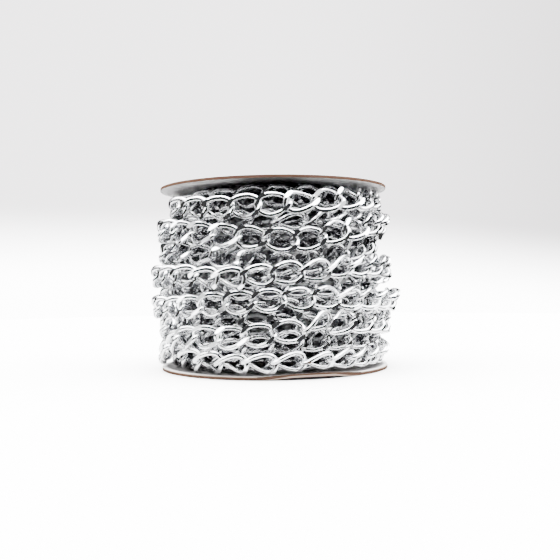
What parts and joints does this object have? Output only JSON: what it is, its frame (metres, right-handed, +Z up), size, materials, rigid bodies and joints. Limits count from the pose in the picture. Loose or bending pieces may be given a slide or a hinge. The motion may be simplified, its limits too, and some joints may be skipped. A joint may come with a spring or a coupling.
{
  "type": "spool of curb chain",
  "caption": "Paperboard spool wound full of bright aluminium curb chain, standing on its lower flange.",
  "frame": {"origin": "on the spool's axis, at the lower flange's underside", "axes": "+Z up along the spool's axis, from the lower flange to the upper one; -Y is the front in the picture and +X its right"},
  "size_m": [0.0996, 0.0979, 0.0716],
  "materials": {
    "coated_paper": "white coated paperboard with a bare brown edge",
    "kraft_board": "bare brown wound paper tube",
    "bright_aluminium": "bright, with diamond-cut facets"
  },
  "bodies": {
    "root": {"lower_flange": "coated_paper", "upper_flange": "coated_paper", "core_tube": "kraft_board", "inner_layers": "bright_aluminium", "under_turn_1": "bright_aluminium", "under_turn_2": "bright_aluminium", "under_turn_3": "bright_aluminium", "under_turn_4": "bright_aluminium", "under_turn_5": "bright_aluminium", "outer_turn_1": "bright_aluminium", "outer_turn_2": "bright_aluminium", "outer_turn_3": "bright_aluminium", "outer_turn_4": "bright_aluminium", "outer_turn_5": "bright_aluminium", "outer_turn_6": "bright_aluminium"}
  },
  "joints": []
}
